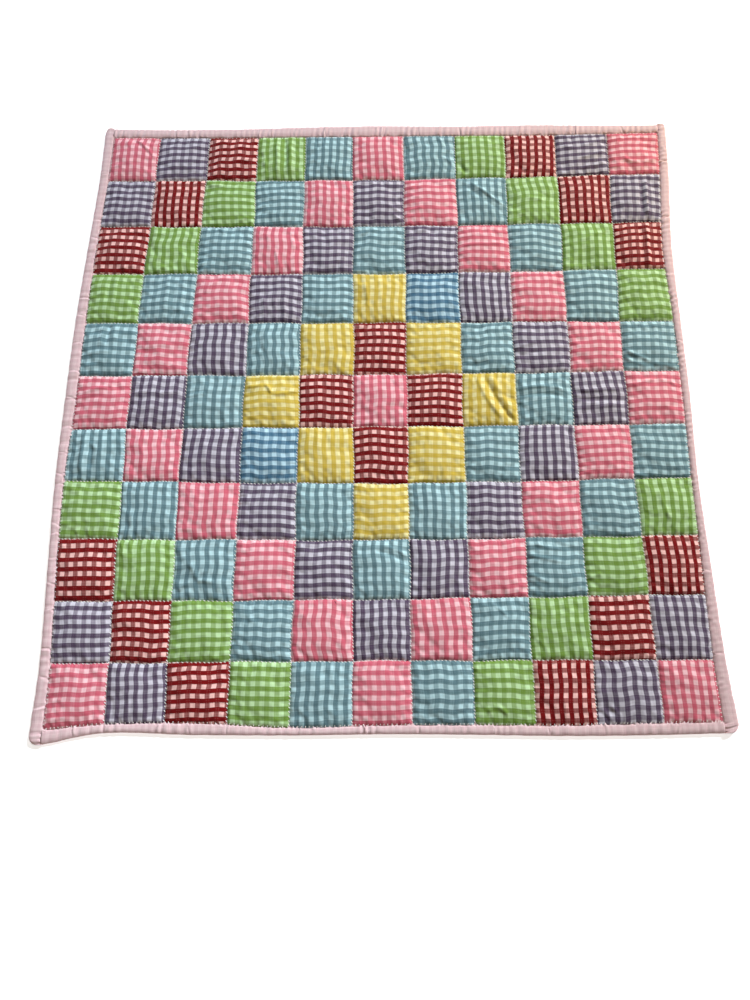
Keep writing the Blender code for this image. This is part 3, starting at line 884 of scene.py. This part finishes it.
def make_weave_group():
    """Plain weave: the height of its threads over the cloth, and the uneven dye of its yarn."""
    group, enter, leave = group_with(
        "Plain Weave",
        [("Cloth", "NodeSocketVector", None), ("Thread", "NodeSocketFloat", 0.8 * MM)],
        [("Height", "NodeSocketFloat"), ("Yarn", "NodeSocketFloat")],
    )
    split = group.nodes.new("ShaderNodeSeparateXYZ")
    group.links.new(enter.outputs["Cloth"], split.inputs[0])
    waves = []
    for axis in (0, 1):
        turns = math_node(group, "DIVIDE", split.outputs[axis], enter.outputs["Thread"])
        waves.append(math_node(group, "SINE", math_node(group, "MULTIPLY", turns, 2 * math.pi)))
    over = math_node(group, "MULTIPLY", waves[0], waves[1])
    group.links.new(math_node(group, "MULTIPLY_ADD", over, 0.5, 0.5), leave.inputs["Height"])
    streaks = []
    for stretch in ((850.0, 45.0, 1.0), (45.0, 850.0, 1.0)):
        mapping = group.nodes.new("ShaderNodeMapping")
        mapping.inputs["Scale"].default_value = stretch
        group.links.new(enter.outputs["Cloth"], mapping.inputs["Vector"])
        noise = group.nodes.new("ShaderNodeTexNoise")
        noise.inputs["Scale"].default_value = 1.0
        noise.inputs["Detail"].default_value = 1.0
        group.links.new(mapping.outputs["Vector"], noise.inputs["Vector"])
        streaks.append(noise.outputs["Fac"])
    both = math_node(group, "ADD", streaks[0], streaks[1])
    group.links.new(math_node(group, "MULTIPLY", both, 0.5), leave.inputs["Yarn"])
    return group


def make_gingham_group():
    """Gingham: even stripes both ways, full colour where they cross."""
    group, enter, leave = group_with(
        "Gingham",
        [
            ("Cloth", "NodeSocketVector", None),
            ("Repeat", "NodeSocketFloat", 12.9 * MM),
            ("Dark", "NodeSocketColor", None),
            ("Light", "NodeSocketColor", None),
            ("Leading", "NodeSocketFloat", 0.78),
            ("Crossing", "NodeSocketFloat", 0.45),
            ("Bands", "NodeSocketFloat", 0.035),
        ],
        [("Colour", "NodeSocketColor")],
    )
    noise = group.nodes.new("ShaderNodeTexNoise")
    noise.inputs["Scale"].default_value = 220.0
    noise.inputs["Detail"].default_value = 2.0
    group.links.new(enter.outputs["Cloth"], noise.inputs["Vector"])
    shift = group.nodes.new("ShaderNodeVectorMath")
    shift.operation = "MULTIPLY_ADD"
    group.links.new(noise.outputs["Color"], shift.inputs[0])
    shift.inputs[1].default_value = (0.4 * MM, 0.4 * MM, 0.0)
    group.links.new(enter.outputs["Cloth"], shift.inputs[2])
    split = group.nodes.new("ShaderNodeSeparateXYZ")
    group.links.new(shift.outputs[0], split.inputs[0])
    leading = stripe_mask(group, split.outputs[0], enter.outputs["Repeat"], 0.09)
    crossing = stripe_mask(group, split.outputs[1], enter.outputs["Repeat"], 0.09)
    alone = math_node(group, "MULTIPLY", leading, enter.outputs["Leading"])
    other = math_node(group, "MULTIPLY", crossing, enter.outputs["Crossing"])
    both = math_node(group, "MULTIPLY", leading, crossing)
    sum_of_tones = math_node(group, "ADD", enter.outputs["Leading"], enter.outputs["Crossing"])
    over = math_node(group, "MULTIPLY", both, math_node(group, "SUBTRACT", sum_of_tones, 1.0))
    tone = math_node(group, "SUBTRACT", math_node(group, "ADD", alone, other), over)
    bands = []
    for axis in (0, 1):
        turns = math_node(group, "DIVIDE", split.outputs[axis], enter.outputs["Repeat"])
        bands.append(math_node(group, "SINE", math_node(group, "MULTIPLY", turns, 8 * math.pi)))
    banded = math_node(group, "MULTIPLY", math_node(group, "ADD", bands[0], bands[1]), enter.outputs["Bands"])
    tone = math_node(group, "ADD", tone, banded)
    tone.node.use_clamp = True
    group.links.new(
        mix_colours(group, tone, enter.outputs["Light"], enter.outputs["Dark"]), leave.inputs["Colour"]
    )
    return group


def make_fade_group():
    """Uneven fade and handling of washed cotton, over the whole quilt."""
    group, enter, leave = group_with(
        "Washed Fade",
        [
            ("Colour", "NodeSocketColor", None),
            ("Yarn", "NodeSocketFloat", 0.5),
            ("Amount", "NodeSocketFloat", 0.12),
        ],
        [("Colour", "NodeSocketColor"), ("Roughness", "NodeSocketFloat")],
    )
    place = group.nodes.new("ShaderNodeTexCoord")
    noise = group.nodes.new("ShaderNodeTexNoise")
    noise.inputs["Scale"].default_value = 14.0
    noise.inputs["Detail"].default_value = 3.0
    group.links.new(place.outputs["Object"], noise.inputs["Vector"])
    grain = math_node(group, "MULTIPLY_ADD", enter.outputs["Yarn"], 4.0, noise.outputs["Fac"])
    level = math_node(group, "SUBTRACT", grain, 2.5)
    gain = math_node(group, "MULTIPLY_ADD", level, enter.outputs["Amount"], 1.0)
    scaled = group.nodes.new("ShaderNodeVectorMath")
    scaled.operation = "SCALE"
    group.links.new(enter.outputs["Colour"], scaled.inputs[0])
    group.links.new(gain, scaled.inputs["Scale"])
    group.links.new(scaled.outputs[0], leave.inputs["Colour"])
    rough = math_node(group, "MULTIPLY_ADD", noise.outputs["Fac"], 0.12, 0.80)
    group.links.new(rough, leave.inputs["Roughness"])
    return group


def place_group(tree, name, values):
    """Put a node group in a material, with its own values and links."""
    node = tree.nodes.new("ShaderNodeGroup")
    node.node_tree = bpy.data.node_groups[name]
    for label, value in values.items():
        if isinstance(value, bpy.types.NodeSocket):
            tree.links.new(value, node.inputs[label])
        else:
            node.inputs[label].default_value = value
    return node


def make_cotton(name, dark, light, repeat, leading, crossing, thread=0.8 * MM, fade=0.12, depth=0.05 * MM):
    """Washed cotton in gingham; a plain cloth has its light and dark yarn alike."""
    material = bpy.data.materials.new(name)
    material.use_nodes = True
    tree = material.node_tree
    shader = tree.nodes["Principled BSDF"]
    cloth = tree.nodes.new("ShaderNodeUVMap")
    cloth.uv_map = "Cloth"
    places = cloth.outputs["UV"]
    weave = place_group(tree, "Plain Weave", {"Cloth": places, "Thread": thread})
    pattern = {"Cloth": places, "Repeat": repeat, "Dark": dark, "Light": light}
    checks = place_group(tree, "Gingham", {**pattern, "Leading": leading, "Crossing": crossing})
    washed = place_group(
        tree,
        "Washed Fade",
        {"Colour": checks.outputs["Colour"], "Yarn": weave.outputs["Yarn"], "Amount": fade},
    )
    bump = tree.nodes.new("ShaderNodeBump")
    bump.inputs["Strength"].default_value = 0.35
    bump.inputs["Distance"].default_value = depth
    tree.links.new(weave.outputs["Height"], bump.inputs["Height"])
    tree.links.new(washed.outputs["Colour"], shader.inputs["Base Color"])
    tree.links.new(washed.outputs["Roughness"], shader.inputs["Roughness"])
    tree.links.new(bump.outputs["Normal"], shader.inputs["Normal"])
    shader.inputs["Specular IOR Level"].default_value = 0.15
    shader.inputs["Sheen Weight"].default_value = 0.05
    shader.inputs["Sheen Roughness"].default_value = 0.5
    return material


def make_thread(name, colour):
    """Soft twisted cotton thread."""
    material = bpy.data.materials.new(name)
    material.use_nodes = True
    tree = material.node_tree
    shader = tree.nodes["Principled BSDF"]
    place = tree.nodes.new("ShaderNodeTexCoord")
    twist = tree.nodes.new("ShaderNodeTexNoise")
    twist.inputs["Scale"].default_value = 1800.0
    tree.links.new(place.outputs["Object"], twist.inputs["Vector"])
    values = {"Colour": colour, "Yarn": twist.outputs["Fac"], "Amount": 0.25}
    washed = place_group(tree, "Washed Fade", values)
    tree.links.new(washed.outputs["Colour"], shader.inputs["Base Color"])
    tree.links.new(washed.outputs["Roughness"], shader.inputs["Roughness"])
    shader.inputs["Specular IOR Level"].default_value = 0.15
    return material


class QUILT_OT_weave_cloths(bpy.types.Operator):
    """Make the ginghams, the binding's cotton and the cloth of the back"""

    bl_idname = "quilt.weave_cloths"
    bl_label = "Weave Cloths"

    def execute(self, context):
        sizes = context.scene.quilt_sizes
        colours = context.scene.quilt_colours
        make_weave_group()
        make_gingham_group()
        make_fade_group()
        for cloth, light in LIGHT_YARNS.items():
            tones = STRIPE_TONES.get(cloth, PLAIN_TONES)
            make_cotton(f"{cloth}_gingham", getattr(colours, cloth), light, sizes.check_repeat, *tones)
        make_cotton("binding_gingham", colours.binding, (0.74, 0.55, 0.57, 1), 8.6 * MM, 0.5, 0.5)
        make_thread("sewing_thread", colours.thread)
        make_thread("dark_thread", (0.05, 0.02, 0.025, 1))
        make_cotton("back_cotton", colours.back, tuple(colours.back), 12.9 * MM, 0.5, 0.5)
        return {"FINISHED"}


class QUILT_OT_sew_top(bpy.types.Operator):
    """Fill and gather the patchwork and lay its eleven rows"""

    bl_idname = "quilt.sew_top"
    bl_label = "Sew Top"

    def execute(self, context):
        sizes = context.scene.quilt_sizes
        cloths = list(LIGHT_YARNS)
        slack = slack_of_top()
        surfaces = {}
        for row in range(1, PATCHES + 1):
            piece = make_row(row, sizes, slack, cloths, surfaces)
            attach(piece, "root")
        stitches = make_stitches(sizes, surfaces)
        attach(stitches, "root")
        return {"FINISHED"}


def lattice_faces(first, across, down, upward):
    """Quads of a lattice of points in rows of `across` points."""
    index = first + np.arange(across * down).reshape(down, across)
    quads = grid_quads(index)
    return [tuple(face) if upward else tuple(face[::-1]) for face in quads.tolist()]


class QUILT_OT_pad_body(bpy.types.Operator):
    """Make the padded body under the patchwork, with the quilted back"""

    bl_idname = "quilt.pad_body"
    bl_label = "Pad Body"

    def execute(self, context):
        steps = 8
        inner = np.arange(PATCHES * steps + 1) / steps
        even = np.r_[-RIM_REACH, -0.45, -0.05, inner, PATCHES + 0.05, PATCHES + 0.45, PATCHES + RIM_REACH]
        count = len(even)
        u, v = (plan.ravel() for plan in np.meshgrid(even, even))
        x, y = on_quilt(u, v)
        edge = np.minimum.reduce([u, v, PATCHES - u, PATCHES - v])
        lumps = np.where(edge > 0, crown(u % 1) * crown(v % 1), 0)
        upper = np.where(edge >= 0, 2.6 * MM + 1.9 * MM * lumps, RIM_TOP - 0.3 * MM)
        upper = np.where(np.abs(edge) < 0.06, 3.1 * MM, upper)
        lower = np.where(edge >= 0, 0.8 * MM * (1 - lumps), RIM_BOTTOM)
        points = np.r_[np.c_[x, y, upper], np.c_[x, y, lower]]
        faces = lattice_faces(0, count, count, True) + lattice_faces(count * count, count, count, False)
        index = np.arange(count * count).reshape(count, count)
        ring = np.r_[index[0, :-1], index[:-1, -1], index[-1, :0:-1], index[:0:-1, 0]]
        for here, following in zip(ring, np.roll(ring, -1)):
            faces.append((following, here, here + count * count, following + count * count))
        piece = new_piece("padded_body", points, faces)
        plan = np.array([loop.vertex_index for loop in piece.data.loops])
        write_uv(piece, "Cloth", np.stack([points[plan, 0], points[plan, 1]], -1))
        piece.data.materials.append(bpy.data.materials["back_cotton"])
        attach(piece, "root")
        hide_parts("quilt")
        return {"FINISHED"}


# The outer face of a folded strip from its sewn edge round its fold: part of the width, height in mm,
# and how much of the cross puckers it takes
STRIP_FACE = (
    (0.00, 3.9, 0.1), (0.03, 4.5, 0.4), (0.08, 4.9, 0.8), (0.16, 5.2, 1.0), (0.28, 5.5, 1.0),
    (0.42, 5.7, 1.0), (0.56, 5.7, 1.0), (0.70, 5.5, 0.9), (0.82, 5.1, 0.7), (0.91, 4.5, 0.5),
    (0.97, 3.6, 0.35), (1.00, 2.5, 0.3), (0.97, 1.3, 0.2), (0.90, 0.5, 0.1), (0.75, 0.0, 0.0),
    (0.50, 0.0, 0.0), (0.25, 0.0, 0.0), (0.02, 0.0, 0.0),
)
# The inside of the fold, back from its lower edge to its upper one
STRIP_INSIDE = (
    (0.02, 1.0), (0.30, 1.0), (0.60, 1.0), (0.86, 1.1), (0.90, 2.4),
    (0.86, 3.9), (0.60, 4.0), (0.30, 4.0), (0.05, 3.6),
)
# Cross puckers of each strip: mean spacing in mm and height in mm
STRIP_PUCKERS = {"left": (17.0, 0.9), "right": (8.0, 1.15), "top": (9.5, 1.5), "bottom": (14.0, 1.2)}
# How far the puckers lean over the width of a strip, in mm
STRIP_LEANS = {"left": -2.0, "right": 5.0, "top": -4.0, "bottom": 2.0}
# Where lengths of a strip are joined or creased across, counted in squares along it, and how deep in mm
STRIP_JOINTS = {
    "left": (
        (0.85, 1.4), (1.85, 0.8), (2.23, 1.0), (2.65, 0.7), (3.49, 0.9), (3.84, 1.0), (4.37, 0.9), (4.9, 0.7),
        (5.4, 0.9), (5.95, 0.8), (6.45, 0.9), (6.87, 1.2), (7.05, 0.8), (7.5, 0.9), (7.74, 0.7), (7.9, 0.9),
        (8.31, 0.9), (8.71, 1.0), (9.12, 0.9), (9.76, 1.6), (10.2, 0.9), (10.66, 1.4),
    ),
    "bottom": (
        (0.5, 1.0), (1.0, 0.9), (1.88, 1.4), (2.4, 0.8), (3.0, 1.2), (4.15, 0.9), (5.2, 0.8), (6.1, 1.0),
        (7.3, 0.8), (8.2, 1.0), (9.1, 0.8), (10.2, 1.0),
    ),
    "right": ((0.7, 0.8), (1.9, 0.9), (3.1, 0.8), (4.4, 1.1), (5.8, 0.8), (7.2, 0.9), (8.6, 0.8), (9.9, 1.0)),
    "top": (
        (0.2, 0.9), (1.3, 1.1), (1.55, 0.9), (3.0, 1.2), (3.25, 1.0), (4.4, 0.8), (5.6, 1.0), (6.3, 0.8),
        (7.1, 1.0), (8.3, 0.9), (9.4, 0.8), (10.3, 1.0),
    ),
}


def cross_folds(side, along_mm, length_mm, part):
    """Height in mm that the joints and creases across a strip add at one part of its width."""
    height = np.zeros_like(along_mm)
    for number, (joint, depth) in enumerate(STRIP_JOINTS[side]):
        slant = 4.5 * math.sin(2.1 * number + 1.0) * (part - 0.5)
        off = along_mm - joint * length_mm - slant
        height += depth * (0.5 * np.exp(-(((off - 2.6) / 2.0) ** 2)) - 0.65 * np.exp(-((off / 1.5) ** 2)))
    return height


def make_strip(side):
    """One folded binding strip, puckered across where it was stitched down."""
    low, high = (-1.0, PATCHES + 1.0) if side in ("left", "right") else (0.002, PATCHES - 0.002)
    length_mm = (PATCH_DOWN if side in ("left", "right") else PATCH_ACROSS) / MM
    steps = (-1.6, -0.8, 0, 0.8, 1.6, 2.8)
    close = [joint + step / length_mm for joint, depth in STRIP_JOINTS[side] for step in steps]
    stations = np.unique(np.r_[np.linspace(low, high, 420), close])
    inner = np.clip(stations, 0, PATCHES)
    along_mm = inner * length_mm + (stations - inner) * 15.0
    spacing, height = STRIP_PUCKERS[side]
    seed = 400 + len(side) * 13 + ord(side[0])
    phase = along_mm / spacing + 0.8 * uneven_line(seed, along_mm, 0.02, 0.12)
    size = height * (0.45 + 1.05 * uneven_line(seed + 3, along_mm, 0.03, 0.2))
    small = gathers(seed + 9, along_mm, 5.4)
    stray = uneven_line(seed + 5, along_mm, 0.02, 0.35)
    points, places = [], []
    for part, level, share in STRIP_FACE:
        turn = 2 * math.pi * (phase + part * STRIP_LEANS[side] / spacing)
        pucker = np.abs(np.cos(turn / 2)) ** 0.8 * 2 - 1.2 + 0.25 * np.cos(2.3 * turn + 1)
        lean = 0.02 * np.sin(turn) * share
        out = part + (0.025 * stray * (part > 0.5)) + lean * (0.2 < part < 0.9)
        if part < 0.1:
            out = out - 0.14 * (small - 0.6)
        level_mm = level + share * (size * pucker + cross_folds(side, along_mm, length_mm, part))
        if part < 0.2 and level > 3:
            level_mm = level_mm + 0.7 * (small - 0.6)
        points.append((out, np.maximum(level_mm, 0.0)))
    for part, level in STRIP_INSIDE:
        points.append((np.full_like(stations, part), np.full_like(stations, level)))
    rings = len(points)
    coordinates = np.zeros((len(stations), rings, 3))
    for k, (out, level_mm) in enumerate(points):
        if side == "left":
            u, v = -out, stations
        elif side == "right":
            u, v = PATCHES + out, stations
        elif side == "top":
            u, v = stations, -out
        else:
            u, v = stations, PATCHES + out
        x, y = on_quilt(u, v)
        coordinates[:, k] = np.stack([x, y, level_mm * MM], -1)
    faces = []
    count = len(stations)
    inward = side in ("left", "bottom")
    for low in range(0, (count - 1) * rings, rings):
        high = low + rings
        for k in range(rings):
            following = (k + 1) % rings
            face = (low + k, low + following, high + following, high + k)
            faces.append(face if inward else face[::-1])
    first = tuple(range(rings))
    last = tuple((count - 1) * rings + k for k in range(rings))
    faces.append(first[::-1] if inward else first)
    faces.append(last if inward else last[::-1])
    piece = new_piece(f"{side}_binding_cloth", coordinates.reshape(-1, 3), faces)
    steps = [abs(b[0] - a[0]) * 14 + abs(b[1] - a[1]) for a, b in zip(STRIP_FACE, STRIP_FACE[1:])]
    run = np.cumsum([0.0, *steps])
    run = np.r_[run, run[-1] - np.linspace(0, 20, len(STRIP_INSIDE))]
    plan = np.array([loop.vertex_index for loop in piece.data.loops])
    write_uv(piece, "Cloth", np.stack([along_mm[plan // rings] * MM, run[plan % rings] * MM], -1))
    piece.data.materials.append(bpy.data.materials["binding_gingham"])
    return piece


class QUILT_OT_fold_binding(bpy.types.Operator):
    """Fold the four binding strips over the quilt's edges"""

    bl_idname = "quilt.fold_binding"
    bl_label = "Fold Binding"

    def execute(self, context):
        for side in ("left", "right", "top", "bottom"):
            piece = make_strip(side)
            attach(piece, "root")
            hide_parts(f"binding_{side}")
        return {"FINISHED"}


def add_area_light(name, place, size, power, colour):
    """A square soft light that faces the middle of the quilt."""
    light = bpy.data.lights.new(name, "AREA")
    light.size = size
    light.energy = power
    light.color = colour
    lamp = bpy.data.objects.new(name, light)
    bpy.context.scene.collection.objects.link(lamp)
    lamp.location = place
    lamp.rotation_euler = (-Vector(place)).to_track_quat("-Z", "Y").to_euler()
    return lamp


class QUILT_OT_set_stage(bpy.types.Operator):
    """Lay the pale floor and set the lights and the camera"""

    bl_idname = "quilt.set_stage"
    bl_label = "Set Stage"

    def add_window(self, scene):
        """A far soft light, with a long pool on the floor that fades to the upper right."""
        far, pool = 12.0, 1.15
        way = Vector((1.0, 1.25, 0.95)).normalized()
        aim = Vector((-0.17, -0.25, 0.0))
        light = bpy.data.lights.new("window_light", "SPOT")
        light.energy = 19400.0
        light.color = (0.86, 0.94, 1.0)
        light.spot_size = 2 * math.atan(pool / far)
        light.spot_blend = 1.0
        light.shadow_soft_size = far * math.tan(math.radians(4.5))
        window = bpy.data.objects.new("window_light", light)
        scene.collection.objects.link(window)
        side = Vector((way.y, -way.x, 0)).normalized()
        axes = Matrix((side, way.cross(side), way)).transposed().to_4x4()
        stretch = Matrix.Diagonal((1.35, way.z, 1, 1))
        window.matrix_world = Matrix.Translation(aim + way * far) @ axes @ stretch

    def execute(self, context):
        scene = context.scene
        deselect_all()
        bpy.ops.mesh.primitive_plane_add(size=8.0, location=(0, 0, -0.05 * MM))
        floor = context.object
        floor.name = "floor"
        paint = bpy.data.materials.new("floor_paint")
        paint.use_nodes = True
        shader = paint.node_tree.nodes["Principled BSDF"]
        shader.inputs["Base Color"].default_value = scene.quilt_colours.floor
        shader.inputs["Roughness"].default_value = 0.9
        shader.inputs["Emission Color"].default_value = (1, 1, 1, 1)
        shader.inputs["Emission Strength"].default_value = 0.6
        floor.data.materials.append(paint)
        self.add_window(scene)
        add_area_light("cool_light", (-0.9, 1.2, 0.8), 0.8, 5.6, (0.60, 0.82, 1.0))
        add_area_light("warm_light", (1.0, 0.7, 0.5), 0.35, 3.2, (1.0, 0.64, 0.06))
        world = bpy.data.worlds.new("soft_room")
        world.use_nodes = True
        background = world.node_tree.nodes["Background"]
        background.inputs["Color"].default_value = (1.0, 0.86, 0.67, 1)
        background.inputs["Strength"].default_value = 0.24
        scene.world = world
        lens = bpy.data.cameras.new("photo_camera")
        lens.lens = 27.0
        lens.sensor_width = 36.0
        lens.sensor_height = 36.0
        camera = bpy.data.objects.new("photo_camera", lens)
        scene.collection.objects.link(camera)
        right = Vector((0.99984, -0.00005, -0.01805))
        ahead = Vector((-0.01739, 0.26444, -0.96425)).normalized()
        up = right.cross(ahead).normalized()
        right = ahead.cross(up)
        place = Vector((0.00959 - OUTLINE_MIDDLE[0], -0.42835 - OUTLINE_MIDDLE[1], 1.01195))
        camera.matrix_world = Matrix.Translation(place) @ Matrix((right, up, -ahead)).transposed().to_4x4()
        scene.camera = camera
        scene.view_settings.view_transform = "Standard"
        return {"FINISHED"}


class QUILT_PT_sidebar(bpy.types.Panel):
    """The quilt's sizes, colours and steps"""

    bl_idname = "QUILT_PT_sidebar"
    bl_label = "Patchwork Quilt"
    bl_space_type = "VIEW_3D"
    bl_region_type = "UI"
    bl_category = "Quilt"

    def draw(self, context):
        layout = self.layout
        for group in (context.scene.quilt_sizes, context.scene.quilt_colours):
            box = layout.box()
            for name in group.__annotations__:
                box.prop(group, name)
        for step in STEPS:
            layout.operator(step.bl_idname)


STEPS = (
    QUILT_OT_weave_cloths,
    QUILT_OT_sew_top,
    QUILT_OT_pad_body,
    QUILT_OT_fold_binding,
    QUILT_OT_set_stage,
)
CLASSES = (QuiltSizes, QuiltColours, *STEPS, QUILT_PT_sidebar)


def register():
    for each in CLASSES:
        bpy.utils.register_class(each)
    bpy.types.Scene.quilt_sizes = PointerProperty(type=QuiltSizes)
    bpy.types.Scene.quilt_colours = PointerProperty(type=QuiltColours)


def unregister():
    del bpy.types.Scene.quilt_colours
    del bpy.types.Scene.quilt_sizes
    for each in reversed(CLASSES):
        bpy.utils.unregister_class(each)


def main():
    register()
    bpy.ops.quilt.weave_cloths()
    bpy.ops.quilt.sew_top()
    bpy.ops.quilt.pad_body()
    bpy.ops.quilt.fold_binding()
    bpy.ops.quilt.set_stage()


if __name__ == "__main__":
    main()
